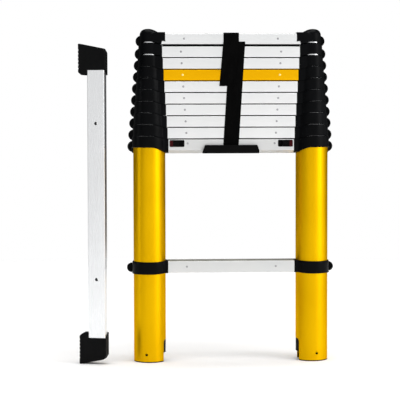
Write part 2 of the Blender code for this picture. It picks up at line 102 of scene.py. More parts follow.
RUNG_TONGUE = 9.5 * MM  # the top rung's ends reach this far into the caps
RUNG_WALL = 1.7 * MM
RUNG_CORNER = 3.2 * MM
TREAD_RIB = 0.9 * MM
TREAD_RIBS = 7
TREAD_PITCH = 5.4 * MM
# A dark strip set in the gap under each rung: painted shade between the rungs
SHADE_STRIP_SET_BACK = 1.6 * MM
SHADE_STRIP_DEPTH = 4.0 * MM
SCREW_FROM_END = 46.0 * MM
SCREW_ABOVE_MIDDLE = 0.5 * MM
BUTTON_CHAMFER = 8.0 * MM
WINDOW = (36.8 * MM, 17.2 * MM)  # width and height of the opening that a button slides in
WINDOW_CORNER = 3.6 * MM
WINDOW_FROM_END = 2.5 * MM
WINDOW_BELOW_TOP = 1.3 * MM
WINDOW_TO_SCREW = 8.0 * MM
BUTTON_LENGTH = 24.0 * MM
BUTTON_TIP = 8.2 * MM  # of that length, its red end
BUTTON_BACK = 3.6 * MM
BUTTON_GROOVE = (1.3 * MM, 1.7 * MM, 2.9 * MM)  # width, depth, pitch

HANDLE_SHOULDER = 7.5 * MM  # its right end is upright to this height
HANDLE_TAPER = (8.0 * MM, 5.0 * MM)  # its top is shorter by these, at its left and its right
STRAP_WIDTH = 38.0 * MM
STRAP_THICK = 1.2 * MM
STRAP_CLEAR = 0.3 * MM  # from the rungs
STRAP_BEND = 4.0 * MM  # radius of the top rung's edges under it
UNDER_FROM_TOP = 19.8 * MM  # where the lower layer starts, below the top rung's top
UNDER_LEAN = (15.5 * MM, -1.4 * MM)  # sideways of the ladder's middle: upper end, lower end
OVER_TO_RUNG_5 = 16.8 * MM  # where the upper layer ends, above the top of rung 5
OVER_LEAN = -10.2 * MM  # its lower end, sideways of the middle
OVER_DOWN_BACK = 17.0 * MM
STITCH = 2.6 * MM
STITCH_PITCH = STITCH * 1.35

BAR_YAW = math.radians(-14.7)
BAR_WIDTH = 42.6 * MM
BAR_DEPTH = 22.0 * MM
BAR_WALL = 1.8 * MM
BAR_HOLE_R = 4.0 * MM
BAR_HOLE_SPACING = 380.0 * MM
BAR_HOLE_RISE = 6.9 * MM  # middle of the two holes above the bar's middle
BOOT_WALL = 2.3 * MM
BOOT_HEIGHT = 76.0 * MM
BOOT_REACH = 22.0 * MM  # its foot pad stands this far out to the bar's side
BOOT_GROOVES = (14.0, 9.0, 2.4, 1.4)  # mm: the first one's height, pitch, width, depth


# ---- places, from the CAD

def lo(node):
    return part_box(node)[0]


def hi(node):
    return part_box(node)[1]


def side_name(side):
    return "left" if side < 0 else "right"


def stile_node(side, section):
    return "stile_%s_%02d" % (side_name(side), section)


def collar_node(side, section):
    if section == SECTIONS:
        return "cap_" + side_name(side)
    return "collar_%s_%02d" % (side_name(side), section)


def rung_node(section):
    return {1: "button_rung", SECTIONS: "top_rung"}.get(section, "rung_%02d" % section)


def body_of_section(section):
    return "base" if section == 1 else "section_%02d" % section


def stile_axis(side):
    low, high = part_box(stile_node(side, 2))
    return (low.x + high.x) / 2, (low.y + high.y) / 2


def stile_radius(section):
    node = stile_node(1, section)
    return (hi(node).y - lo(node).y) / 2


def end_x(side, node):
    return lo(node).x if side < 0 else hi(node).x


def outermost(side, node):
    """From a stile's axis to the outer side of one of its collars, or to the end of a rung."""
    return abs(end_x(side, node) - stile_axis(side)[0])


def rung_face(side, node):
    """From a stile's axis to the face of a collar that meets this rung."""
    return outermost(side, node) - GAP


MIDDLE_X = (stile_axis(-1)[0] + stile_axis(1)[0]) / 2


# ---- materials

def add_node(tree, kind, **values):
    """A shader node. Values with lower-case names are its properties, the others its inputs."""
    node = tree.nodes.new("ShaderNode" + kind)
    for name, value in values.items():
        if name.islower():
            setattr(node, name, value)
        else:
            node.inputs[name.replace("_", " ")].default_value = value
    return node


class Nodes:
    """One Principled material and short ways to add procedural detail to it."""

    def __init__(self, name, colour, roughness, metallic=0.0, **uniform):
        self.material = bpy.data.materials.new(name)
        self.material.use_nodes = True
        self.tree = self.material.node_tree
        self.shader = self.tree.nodes["Principled BSDF"]
        self.set("Base Color", (*colour, 1.0))
        self.set("Roughness", roughness)
        self.set("Metallic", metallic)
        for socket, value in uniform.items():
            self.set(socket.replace("_", " "), value)
        self.normal = None

    def set(self, socket, value):
        self.shader.inputs[socket].default_value = value

    def node(self, kind, **values):
        return add_node(self.tree, kind, **values)

    def noise(self, stretch, detail=3.0):
        """Noise in the object's own space, in features per metre along each axis."""
        place = self.node("TexCoord")
        mapping = self.node("Mapping", Scale=stretch)
        texture = self.node("TexNoise", Scale=1.0, Detail=detail)
        self.tree.links.new(place.outputs["Object"], mapping.inputs["Vector"])
        self.tree.links.new(mapping.outputs["Vector"], texture.inputs["Vector"])
        return texture.outputs["Fac"]

    def spread(self, value, low, high):
        """Takes the noise's usual range to low..high."""
        scaled = self.node("MapRange", From_Min=0.3, From_Max=0.7, To_Min=low, To_Max=high)
        self.tree.links.new(value, scaled.inputs["Value"])
        return scaled.outputs["Result"]

    def roughen(self, value, low, high):
        self.tree.links.new(self.spread(value, low, high), self.shader.inputs["Roughness"])

    def tint(self, value, dark, light):
        mix = self.node("Mix", data_type="RGBA", A=(*dark, 1.0), B=(*light, 1.0))
        self.tree.links.new(self.spread(value, 0.0, 1.0), mix.inputs["Factor"])
        self.tree.links.new(mix.outputs["Result"], self.shader.inputs["Base Color"])

    def bump(self, value, depth, strength):
        bump = self.node("Bump", Distance=depth, Strength=strength)
        self.tree.links.new(value, bump.inputs["Height"])
        if self.normal is not None:
            self.tree.links.new(self.normal, bump.inputs["Normal"])
        self.normal = bump.outputs["Normal"]
        self.tree.links.new(self.normal, self.shader.inputs["Normal"])


def brushed(name, dark, light, roughness, stretch, **uniform):
    """Metal with fine lines along one axis and a slow change of sheen."""
    made = Nodes(name, light, roughness, 1.0, **uniform)
    lines = made.noise(stretch, 4.0)
    made.roughen(lines, roughness - 0.05, roughness + 0.06)
    made.tint(made.noise((9.0, 9.0, 9.0), 2.0), dark, light)
    made.bump(lines, 0.04 * MM, 0.35)
    return made.material


def moulded(name, colour, roughness, grain, depth, shine):
    """Plastic or rubber with a fine grain and slightly uneven gloss."""
    made = Nodes(name, colour, roughness, 0.0, Specular_IOR_Level=shine)
    fine = made.noise((grain, grain, grain), 2.0)
    made.roughen(made.noise((70.0, 70.0, 70.0)), roughness - 0.06, roughness + 0.07)
    patches = made.noise((25.0, 25.0, 40.0), 2.0)
    made.tint(patches, [c * 0.8 for c in colour], [c * 1.25 for c in colour])
    made.bump(fine, depth, 0.5)
    return made.material


ALONG_X = (5.0, 900.0, 900.0)
ALONG_Z = (900.0, 900.0, 5.0)
YELLOW_SHEEN = (1.0, 0.72, 0.20, 1.0)
YELLOW_TUBE = brushed(
    "yellow_tube", (0.72, 0.40, 0.001), (0.77, 0.44, 0.0015), 0.40, ALONG_Z,
    Specular_Tint=YELLOW_SHEEN)
YELLOW_PLATE = brushed(
    "yellow_rung_coat", (0.84, 0.42, 0.002), (0.90, 0.47, 0.003), 0.34, ALONG_X,
    Specular_Tint=YELLOW_SHEEN)
TUBE_METAL = brushed("brushed_tube", (0.72, 0.73, 0.74), (0.80, 0.81, 0.82), 0.30, ALONG_Z)
RUNG_METAL = brushed("brushed_rung", (0.78, 0.79, 0.79), (0.84, 0.84, 0.84), 0.38, ALONG_X)
# A darker copy of the rung metal for the lower rung and the button rung: painted shade
SHADED_RUNG_METAL = brushed("rung_painted_shade", (0.62, 0.63, 0.63), (0.69, 0.69, 0.68), 0.40, ALONG_X)
# Darker metal for the rungs' tops: painted shade, the top faces darker than the fronts
TREAD_SHADE_METAL = brushed("tread_painted_shade", (0.17, 0.17, 0.15), (0.26, 0.26, 0.23), 0.5, ALONG_X)
BAR_METAL = brushed("brushed_bar", (0.86, 0.87, 0.88), (0.91, 0.92, 0.93), 0.28, ALONG_Z)
COLLAR_PLASTIC = moulded("collar_plastic", (0.0012, 0.0014, 0.0018), 0.34, 1500.0, 0.05 * MM, 0.05)
HANDLE_PLASTIC = moulded("handle_plastic", (0.0015, 0.0015, 0.0015), 0.5, 900.0, 0.1 * MM, 0.05)
BUTTON_BLACK = moulded("button_black", (0.0015, 0.0015, 0.0015), 0.42, 1500.0, 0.05 * MM, 0.06)
BUTTON_RED = moulded("button_red", (0.040, 0.0015, 0.003), 0.42, 1500.0, 0.05 * MM, 0.08)
RUBBER = moulded("boot_rubber", (0.0022, 0.0023, 0.0025), 0.62, 1100.0, 0.12 * MM, 0.08)
SCREW_STEEL = brushed(
    "screw_steel", (0.34, 0.34, 0.35), (0.42, 0.42, 0.43), 0.34, (300.0, 300.0, 300.0))
SCREW_GILT = brushed(
    "coated_screw", (0.93, 0.72, 0.22), (0.98, 0.80, 0.32), 0.34, (300.0, 300.0, 300.0))


def webbing_material():
    """Woven strap: crossing ribs a millimetre or so apart, and a dull, uneven black."""
    made = Nodes("black_webbing", (0.001, 0.001, 0.001), 0.85, 0.0, Specular_IOR_Level=0.04)
    place = made.node("TexCoord")
    for direction, scale in (("X", 330.0), ("Z", 260.0)):
        wave = made.node("TexWave", wave_type="BANDS", bands_direction=direction,
                         Scale=scale, Distortion=0.6)
        made.tree.links.new(place.outputs["Object"], wave.inputs["Vector"])
        made.bump(wave.outputs["Fac"], 0.2 * MM, 0.7)
    fuzz = made.noise((1400.0, 1400.0, 1400.0))
    made.bump(fuzz, 0.1 * MM, 0.5)
    made.tint(made.noise((60.0, 60.0, 30.0)), (0.0006, 0.0006, 0.0006), (0.0016, 0.0016, 0.0016))
    return made.material


WEBBING = webbing_material()


# ---- shapes

def new_object(name, data):
    obj = bpy.data.objects.new(name, data)
    bpy.context.scene.collection.objects.link(obj)
    return obj


def loft(name, rows, ends="open"):
    """Quads between rings of equal length. ends: "loop" joins last to first, "caps" closes both."""
    rows = [np.asarray(row, float) for row in rows]
    count = len(rows[0])
    faces = []
    spans = len(rows) if ends == "loop" else len(rows) - 1
    for r in range(spans):
        a = r * count
        b = (r + 1) % len(rows) * count
        for i in range(count):
            j = (i + 1) % count
            faces.append((a + i, a + j, b + j, b + i))
    if ends == "caps":
        faces.append(tuple(range(count - 1, -1, -1)))
        faces.append(tuple(range((len(rows) - 1) * count, len(rows) * count)))
    mesh = bpy.data.meshes.new(name)
    mesh.from_pydata([tuple(map(float, v)) for v in np.concatenate(rows)], [], faces)
    mesh.validate()
    obj = new_object(name, mesh)
    outward(obj)
    return obj


def outward(obj, fill=False):
    """Welds a mesh, fills its open end with one face if asked to, and turns its faces outward."""
    work = bmesh.new()
    work.from_mesh(obj.data)
    bmesh.ops.remove_doubles(work, verts=work.verts, dist=WELD)
    bmesh.ops.dissolve_degenerate(work, edges=work.edges, dist=WELD)
    if fill:
        bmesh.ops.holes_fill(work, edges=[edge for edge in work.edges if edge.is_boundary], sides=0)
    bmesh.ops.recalc_face_normals(work, faces=work.faces)
    work.to_mesh(obj.data)
    work.free()


def lathe(name, profile, sides, axis="Z", centre=(0.0, 0.0, 0.0), ends="loop"):
    """Turns (radius, height) points about a Z or Y axis through centre."""
    rows = []
    for radius, height in profile:
        ring = []
        for i in range(sides):
            angle = 2 * math.pi * i / sides
            a, b = max(radius, 1e-7) * math.cos(angle), max(radius, 1e-7) * math.sin(angle)
            point = (a, b, height) if axis == "Z" else (a, height, b)
            ring.append([p + c for p, c in zip(point, centre)])
        rows.append(ring)
    return loft(name, rows, ends)


def extrude(name, loops, low, high):
    """A flat outline in XY, with its inner loops as holes, raised from low to high in Z."""
    curve = bpy.data.curves.new(name, "CURVE")
    curve.dimensions = "2D"
    curve.fill_mode = "BOTH"
    curve.extrude = (high - low) / 2
    for loop in loops:
        spline = curve.splines.new("POLY")
        spline.points.add(len(loop) - 1)
        for point, (x, y) in zip(spline.points, loop):
            point.co = (x, y, 0.0, 1.0)
        spline.use_cyclic_u = True
    source = new_object(name + "_curve", curve)
    bpy.context.view_layer.update()
    graph = bpy.context.evaluated_depsgraph_get()
    mesh = bpy.data.meshes.new_from_object(source.evaluated_get(graph))
    bpy.data.objects.remove(source, do_unlink=True)
    obj = new_object(name, mesh)
    obj.data.transform(Matrix.Translation((0.0, 0.0, (low + high) / 2)))
    outward(obj)
    return obj


def drill(radius, x, z):
    """A cutter for a round hole from front to back."""
    return lathe("hole", [(radius, -0.2), (radius, 0.2)], 32, "Y", (x, 0.0, z), "caps")


def turn(obj, axis, degrees):
    obj.data.transform(Matrix.Rotation(math.radians(degrees), 4, axis))
    return obj


def across(name, loops, low, high):
    """An outline in YZ, run along X from low to high."""
    return turn(turn(extrude(name, loops, low, high), "X", 90), "Z", 90)


def upright(name, loops, front, back):
    """An outline in XZ, run along Y from front to back."""
    return turn(extrude(name, loops, -back, -front), "X", 90)


def shift(obj, x=0.0, y=0.0, z=0.0):
    obj.data.transform(Matrix.Translation((x, y, z)))
    return obj


def bake(obj):
    """Applies the object's modifiers to its mesh."""
    bpy.context.view_layer.update()
    graph = bpy.context.evaluated_depsgraph_get()
    mesh = bpy.data.meshes.new_from_object(
        obj.evaluated_get(graph), preserve_all_data_layers=True, depsgraph=graph)
    obj.modifiers.clear()
    obj.data = mesh


def cut(obj, *tools):
    """Subtracts tools from obj and removes them."""
    for tool in tools:
        boolean = obj.modifiers.new("cut", "BOOLEAN")
        boolean.operation = "DIFFERENCE"
        boolean.solver = "EXACT"
        boolean.object = tool
    bake(obj)
    for tool in tools:
        bpy.data.objects.remove(tool, do_unlink=True)
    outward(obj)


def join(obj, *others):
    """Gathers the others' meshes, and their materials, into obj."""
    with bpy.context.temp_override(
            active_object=obj, selected_editable_objects=[obj, *others]):
        bpy.ops.object.join()


def paint(obj, material, smooth=35.0, bevel=0.0):
    """Gives the piece its material and shades it smooth, with bevelled edges or with sharp ones."""
    obj.data.materials.clear()
    obj.data.materials.append(material)
    obj.data.shade_smooth()
    if bevel:
        edge = obj.modifiers.new("bevel", "BEVEL")
        edge.width = bevel
        edge.segments = 2
        edge.limit_method = "ANGLE"
        edge.angle_limit = math.radians(BEVEL_ANGLE)
        edge.use_clamp_overlap = True
        weigh = obj.modifiers.new("normals", "WEIGHTED_NORMAL")
        weigh.keep_sharp = False
        weigh.weight = 90
        bake(obj)
    else:
        obj.data.set_sharp_from_angle(angle=math.radians(smooth))


def place(obj, body, slot, *nodes):
    """The piece rides on a body and stands for these CAD nodes. The slot is not used."""
    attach(obj, body)
    if nodes:
        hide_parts(*nodes)


def arc(centre, radius, start, end, steps):
    angles = [math.radians(start + (end - start) * i / steps) for i in range(steps + 1)]
    return [(centre[0] + radius * math.cos(a), centre[1] + radius * math.sin(a)) for a in angles]


def circle(radius):
    return arc((0.0, 0.0), radius, 0, 360 - 360 / TUBE_SIDES, TUBE_SIDES - 1)


def rectangle(left, bottom, right, top):
    return [(left, bottom), (right, bottom), (right, top), (left, top)]


def fillet(points, radii):
    """Rounds each corner of a closed outline by its own radius."""
    steps = 5
    rounded = []
    count = len(points)
    for i, (point, radius) in enumerate(zip(points, radii)):
        here = np.array(point)
        before = np.array(points[i - 1]) - here
        after = np.array(points[(i + 1) % count]) - here
        if radius <= 0:
            rounded.append(tuple(here))
            continue
        before_length, after_length = np.linalg.norm(before), np.linalg.norm(after)
        before, after = before / before_length, after / after_length
        half = math.acos(max(-1.0, min(1.0, float(before @ after)))) / 2
        reach = min(radius / math.tan(half), before_length * 0.49, after_length * 0.49)
        start, end = here + before * reach, here + after * reach
        for s in range(steps + 1):
            t = s / steps
            rounded.append(tuple((1 - t) ** 2 * start + 2 * t * (1 - t) * here + t * t * end))
    return rounded


def spaced(points, step=None):
    """Even points along a path, about step apart, or COLLAR_POINTS of them up to its closing one."""
    points = np.array(points, float)
    along = np.concatenate([[0.0], np.cumsum(np.linalg.norm(np.diff(points, axis=0), axis=1))])
    count = int(along[-1] / step) if step else COLLAR_POINTS
    wanted = np.linspace(0.0, along[-1], count, endpoint=step is not None)
    return np.stack([np.interp(wanted, along, column) for column in points.T], axis=1)


def smooth_step(value):
    value = max(0.0, min(1.0, value))
    return value * value * (3 - 2 * value)


def box_outline(width, height, corner):
    x, y = width / 2, height / 2
    return fillet(rectangle(-x, -y, x, y), [corner] * 4)


# ---- stiles

def to_rung(cutter, side):
    """Turns a cutter made on the left stile's inner side to that of this stile."""
    return turn(cutter, "Z", 180) if side > 0 else cutter


def add_outer_stile(side):
    """The yellow tube, notched at the foot, with its black foot plug showing there."""
    x, y = stile_axis(side)
    radius = stile_radius(1)
    name = stile_node(side, 1)
    top = hi("button_rung").z + COLLAR_LIP - COLLAR_FLANGE - GAP
    tube = extrude(name + "_tube", [circle(radius), circle(radius - TUBE_WALL)], FOOT_RIM, top)
    width, height = NOTCH
    notch = fillet(rectangle(-width / 2, -60 * MM, width / 2, height), [0, 0, NOTCH_CORNER, NOTCH_CORNER])
    opening = to_rung(across("opening", [notch], radius - NOTCH_DEPTH, radius + PAST), side)
    cut(tube, opening, drill(FOOT_HOLE_R, side * FOOT_HOLE[0], FOOT_HOLE[1]))
    paint(shift(tube, x, y), YELLOW_TUBE, bevel=0.35 * MM)
    place(tube, "base", "yellow_coat", name)
    add_foot_plug(side, x, y, radius)
    add_foot_rim(side, x, y, radius)


def add_foot_plug(side, x, y, radius):
    """A moulded plug with a grooved boss that fills the notch's upper part."""
    inside = radius - TUBE_WALL - 0.1 * MM
    face = radius - PLUG_FACE
    angle = math.degrees(math.asin(PLUG_HALF / face))
    start = math.degrees(math.asin(PLUG_HALF / inside))
    outline = arc((0.0, 0.0), face, -angle, angle, 24)
    outline += arc((0.0, 0.0), inside, start, 360 - start, 80)
    plug = extrude("foot_plug_" + side_name(side), [[(-side * u, v) for u, v in outline]], *PLUG)
    recess = [(-side * u * 0.80, v * 0.80) for u, v in circle(inside)]
    tools = [extrude("hollow", [recess], *PLUG_HOLLOW)]
    for offset in PLUG_GROOVES:
        groove = across("groove", [rectangle(-0.9 * MM, -4 * MM, 0.9 * MM, 60 * MM)],
                        radius - 2.2 * MM, radius + PAST)
        tools.append(shift(to_rung(groove, side), y=offset * MM))
    cut(plug, *tools)
    paint(shift(plug, x, y), RUBBER, bevel=0.5 * MM)
    place(plug, "base", "boot_rubber")


def add_foot_rim(side, x, y, radius):
    """A thin rubber rim under the tube, open at the notch."""
    outer, bore = radius - 0.1 * MM, radius - TUBE_WALL - 0.05 * MM
    lip = bore - 1.2 * MM
    under = FOOT_RIM - 0.05 * MM
    profile = [(lip, 0.0), (outer - 0.4 * MM, 0.0), (outer, 0.5 * MM), (outer, under),
               (bore, under), (bore, 9 * MM), (lip, 9 * MM)]
    rim = lathe("foot_rim_" + side_name(side), profile, TUBE_SIDES)
    half = NOTCH[0] / 2
    opening = rectangle(radius - NOTCH_DEPTH - 0.5 * MM, -10 * MM, radius + PAST, 20 * MM)
    cut(rim, to_rung(upright("opening", [opening], -half, half), side))
    paint(shift(rim, x, y), RUBBER, smooth=40)
    place(rim, "base", "boot_rubber")


def add_inner_stile(section, side):
    x, y = stile_axis(side)
    node = stile_node(side, section)
    radius = stile_radius(section)
    bottom, top = lo(node).z, hi(node).z
    tube = extrude(node + "_tube", [circle(radius), circle(radius - TUBE_WALL)], bottom, top)
    paint(shift(tube, x, y), TUBE_METAL, bevel=0.3 * MM)
    place(tube, body_of_section(section), "bare_aluminium", node)


# ---- collars

def collar_outline(radius, face):
    """Round about the stile, square towards the rung."""
    half = min(COLLAR_DEPTH / 2, radius * 0.999)
    start = math.degrees(math.asin(half / radius))
    return even(arc((0.0, 0.0), radius, start, 360 - start, 200) + [(face, -half), (face, half)])


def cap_outline(radius, face):
    """As a collar's, but widening to cover the rung's end."""
    half = CAP_DEPTH / 2
    square = [(radius, -half), (face, -half), (face, half), (radius, half)]
    return even(arc((0.0, 0.0), radius, 90, 270, 120) + square)


def even(rough):
    """The closed outline again, in evenly spaced points and with its corners eased."""
    points = spaced(rough + rough[:1])
    for _ in range(2):
        points = (np.roll(points, 1, 0) + 2 * points + np.roll(points, -1, 0)) / 4
    return points


def outline_normals(points):
    tangent = np.roll(points, -1, 0) - np.roll(points, 1, 0)
    tangent /= np.linalg.norm(tangent, axis=1)[:, None]
    return np.stack([tangent[:, 1], -tangent[:, 0]], axis=1)


# Where an edge falls, in degrees from the collar's front: towards the rung, then to the outer side
BASE_FALL = ((5, 83), (78, 108))
NESTED_FALL = ((2, 62), (50, 130))
TOP_FALL = ((12, 84), (24, 80))
LOWER_FALL = ((5, 83), (100, 130))


def edge_rise(points, fall):
    """From 1 at a collar's front, and at its back, down to 0 at the rung and at the lug."""
    (inner_from, inner_to), (outer_from, outer_to) = fall
    rise = []
    for u, v in points:
        angle = math.degrees(math.atan2(u, -v))
        if angle >= 0:
            mirrored = min(angle, 180 - angle)
            rise.append(1 - smooth_step((mirrored - inner_from) / (inner_to - inner_from)))
        else:
            dropped = smooth_step((-angle - outer_from) / (outer_to - outer_from))
            behind_lug = smooth_step((-angle - 150) / 28)
            rise.append(1 - dropped * (1 - behind_lug))
    return np.array(rise)


def wall_rows(points, normals, low, high, top_round):
    """Rows up a collar's outer wall: rounded lower edge, bead, wall, rounded upper edge."""
    rows = []

    def row(inset, height):
        flat = points - normals * np.reshape(inset, (-1, 1))
        rows.append(np.column_stack([flat, np.broadcast_to(height, (len(points),))]))

    quarter = [math.radians(t) for t in (0, 30, 60, 90)]
    for t in quarter:
        row(EDGE_ROUND * (1 - math.sin(t)) - BEAD, low + EDGE_ROUND * (1 - math.cos(t)))
    bead_top, wall_low = [low + height for height in BEAD_TOP]
    wall_high = high - top_round
    row(-BEAD, bead_top)
    for t in (0.0, 0.25, 0.5, 0.75):
        row(0.0, wall_low + (wall_high - wall_low) * t)
    for t in quarter:
        row(top_round * (1 - math.cos(t)), high - top_round * (1 - math.sin(t)))
    return rows


def ring_row(points, radius, height):
    """A row on a circle, each point in line with its outline point."""
    angles = np.arctan2(points[:, 1], points[:, 0])
    heights = np.broadcast_to(height, (len(points),))
    return np.column_stack([radius * np.cos(angles), radius * np.sin(angles), heights])


def add_lug(name, side, radius, tip, height, r=LUG_R):
    """The round housing behind and outside a collar: rim, ring groove and hub on both faces."""
    half = LUG_THICK / 2
    hub, groove, flat = r - 9.2 * MM, r - 5.2 * MM, r - LUG_RIM
    hub_face, groove_floor = half - 0.2 * MM, half - 1.3 * MM
    front = [(0.0, hub_face), (hub, hub_face), (hub + 0.8 * MM, groove_floor), (groove, groove_floor),
             (groove + 0.8 * MM, half - 0.1 * MM)]
    edge = [(a, b) for b, a in arc((half - LUG_RIM, flat), LUG_RIM, 0, 90, 3)]
    profile = front + edge
    profile += [(a, -b) for a, b in reversed(profile)]
    centre = (side * (tip - r), LUG_BEHIND * radius, height)
    return lathe(name, profile, 48, "Y", centre, "open")


def finish_collar(collar, lug, side, x, y):
    """A collar is made with its rung to the right, so the right stile's is mirrored."""
    collar.data.transform(Matrix.Diagonal((-side, 1.0, 1.0, 1.0)))
    outward(collar)
    paint(collar, COLLAR_PLASTIC, smooth=38)
    paint(lug, COLLAR_PLASTIC, smooth=38)
    join(collar, lug)
    shift(collar, x, y)


def fall_of(section):
    """How the joint between this section's collar and the next one's falls away from the front."""
    if section == 0:
        return BASE_FALL
    return TOP_FALL if section in CREST_RISE else NESTED_FALL


def add_collar(section, side):
    """A collar's edges follow the same curve as its neighbours', so that the closed stack nests."""
    node = collar_node(side, section)
    x, y = stile_axis(side)
    radius = stile_radius(section)
    top = hi(rung_node(section)).z
    closed = section == SECTIONS
    outer = radius + (CAP_WALL if closed else COLLAR_WALL)
    outline = cap_outline if closed else collar_outline
    points = outline(outer, rung_face(side, rung_node(section)))
    normals = outline_normals(points)
    inner = radius + COLLAR_BORE
    below = lo(node).z if section == 1 else hi(rung_node(section - 1)).z + COLLAR_LIP + GAP
    low = below + ARCH_RISE.get(section, NESTED_RISE) * edge_rise(points, fall_of(section - 1))
    if closed:
        step = [smooth_step((u - CAP_STEP_FROM) / CAP_STEP_RUN) for u, _ in points]
        low = low + CAP_STEP * np.array(step)
    rows = [ring_row(points, inner, low)]
    if closed:
        rows += cap_rows(points, normals, low, top + CAP_TOP, outer)
        collar = loft(node + "_moulding", rows)
        outward(collar, fill=True)
    else:
        crest = CREST_RISE.get(section, NESTED_RISE)
        high = top + COLLAR_LIP + crest * edge_rise(points, fall_of(section))
        guide = stile_radius(section + 1) + GUIDE_GAP
        shoulder = top + COLLAR_LIP - COLLAR_FLANGE
        rows += wall_rows(points, normals, low, high, EDGE_ROUND)
        for ring, height in ((guide + GUIDE_ROUND, high), (guide, high - GUIDE_ROUND),
                             (guide, shoulder), (inner, shoulder)):
            rows.append(ring_row(points, ring, height))
        collar = loft(node + "_moulding", rows, "loop")
    height = top - (hi("rung_02").z - lo("rung_02").z) / 2 - LUG_DROP
    lug = add_lug(node + "_lug", side, radius, outermost(side, node), height)
    finish_collar(collar, lug, side, x, y)
    place(collar, body_of_section(section), "collar_plastic", node)


def cap_rows(points, normals, low, flat, outer):
    """The wall up to its shoulder, then rows inward over the top to a point on the axis."""
    height, toward = cap_top(points, outer)
    top_round = EDGE_ROUND * toward + 0.05 * MM
    rows = wall_rows(points, normals, low, flat + height, top_round)
    edge = points - normals * top_round[:, None]
    for t in (0.99, 0.97, 0.94, 0.9, 0.84, 0.77, 0.68, 0.57, 0.44, 0.3, 0.15, 0.0):
        height, _ = cap_top(edge * t, outer)
        rows.append(np.column_stack([edge * t, flat + height]))
    return rows


def cap_top(points, outer):
    """Height of the cap over its flat part, and how far each point lies on the rung's side."""
    reach = np.maximum(np.linalg.norm(points, axis=1), 1e-6)
    steps = [smooth_step((u / r + 0.2) / 0.9) for (u, _), r in zip(points, reach)]
    toward = np.array(steps)
    dome = np.clip(1 - (reach / outer) ** 3, 0.0, 1.0) ** 0.42
    away = (CAP_DOME + CAP_SHOULDER) * dome - CAP_SHOULDER
    saddle = CAP_DOME * np.clip(1 - (reach / CAP_SADDLE) ** 2, 0.0, 1.0) ** 1.3
    return away + (saddle - away) * toward, toward


def add_lower_collar(side):
    """The clamp round the yellow tube that carries the lower rung."""
    node = "lower_collar_" + side_name(side)
    x, y = stile_axis(side)
    radius = stile_radius(1)
    points = collar_outline(radius + COLLAR_WALL, rung_face(side, "lower_rung"))
    normals = outline_normals(points)
    rise = edge_rise(points, LOWER_FALL)
    low = lo(node).z - LOWER_SAG[0] * rise
    high = hi(node).z - LOWER_SAG[1] * rise
    inner = radius + COLLAR_BORE
    rows = [ring_row(points, inner, low)]
    rows += wall_rows(points, normals, low, high, EDGE_ROUND)
    rows.append(ring_row(points, inner, high))
    collar = loft(node + "_moulding", rows, "loop")
    lug_radius, further, drop = LOWER_LUG
    height = (lo(node).z + hi(node).z) / 2 - drop
    lug = add_lug(node + "_lug", side, radius, outermost(side, node) + further, height, lug_radius)
    finish_collar(collar, lug, side, x, y)
    place(collar, "base", "collar_plastic", node)


# ---- rungs

def rung_section(depth, height, chamfer):
    """Outer and inner outlines in YZ, about the rung's middle, with a ribbed tread on top."""
    y, z = depth / 2, height / 2
    if chamfer:
        corners = [(y, -z), (y, z), (-y, z), (-y, chamfer - z), (chamfer - y, -z)]
        radii = [RUNG_CORNER, RUNG_CORNER, RUNG_CORNER * 0.6, 2 * MM, 2 * MM]
    else:
        corners = [(y, -z), (y, z), (-y, z), (-y, -z)]
        radii = [RUNG_CORNER, RUNG_CORNER, RUNG_CORNER * 0.6, RUNG_CORNER * 0.6]
    outer = fillet(corners, radii)
    ribbed = []
    for index, point in enumerate(outer):
        ribbed.append(point)
        following = outer[(index + 1) % len(outer)]
        if abs(point[1] - z) < 1e-6 and abs(following[1] - z) < 1e-6 and point[0] > 0 > following[0]:
            ribbed += tread_ribs(z)
    wall = RUNG_WALL
    inner_corners = [(a - math.copysign(wall, a), b - math.copysign(wall, b)) for a, b in corners]
    if chamfer:
        inner_corners[3] = (-y + wall, chamfer - z + wall * 0.4)
        inner_corners[4] = (chamfer - y + wall * 0.4, -z + wall)
    return [ribbed, fillet(inner_corners, [1.2 * MM] * len(corners))]


def tread_ribs(top):
    ribs = []
    for index in range(TREAD_RIBS):
        middle = ((TREAD_RIBS - 1) / 2 - index) * TREAD_PITCH + 0.4 * MM
        for offset, lift in ((1.7, 0.0), (1.1, 1.0), (-1.1, 1.0), (-1.7, 0.0)):
            ribs.append((middle + offset * MM, top + TREAD_RIB * lift))
    return ribs


def paint_rung(rung, metal):
    """The ribbed tread on top gets a rougher, darker metal than the sides: the darkness is painted shade.
    """
    paint(rung, metal, smooth=25)
    rung.data.materials.append(TREAD_SHADE_METAL)
    # Upward faces on the tread take the painted shade
    tread = max(v.co.z for v in rung.data.vertices) - TREAD_RIB - 0.05 * MM
    for face in rung.data.polygons:
        if face.normal.z > 0.3 and face.center.z > tread:
            face.material_index = 1


# A screw head in mm, from the middle of its recess over the dome: radius, and how far back
SCREW_HEAD = [(0.0, 0.3), (1.0, 0.3), (1.2, -0.5), (1.9, -0.35), (2.5, 0.05), (2.7, 0.6), (2.7, 1.4)]


def add_screw(name, x, y, z, body, slot, material):
    """A small domed screw head with a recess, facing forward."""
    profile = [(radius * MM, back * MM) for radius, back in SCREW_HEAD]
    head = lathe(name, profile, 24, "Y", (x, y - 0.5 * MM, z), "open")
    paint(head, material, smooth=30)
    place(head, body, slot)


def add_shade_strip(section):
    """A dark strip set back in the gap under a rung, reaching down nearly to the rung below: painted shade
    between the rungs.
    """
    low = lo(rung_node(section))
    below_low, below_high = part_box(rung_node(section - 1))
    height = low.z - below_high.z - 0.35 * MM
    front = low.y + SHADE_STRIP_SET_BACK
    outline = fillet([(front, 0.5 * MM), (front, -height), (front + SHADE_STRIP_DEPTH, -height),
                      (front + SHADE_STRIP_DEPTH, 0.5 * MM)], [0, 0.6 * MM, 0.6 * MM, 0])
    strip = across("shade_strip_%02d" % section, [outline], below_low.x + GAP, below_high.x - GAP)
    paint(shift(strip, z=low.z), RUBBER, smooth=40)
    place(strip, body_of_section(section), "boot_rubber")


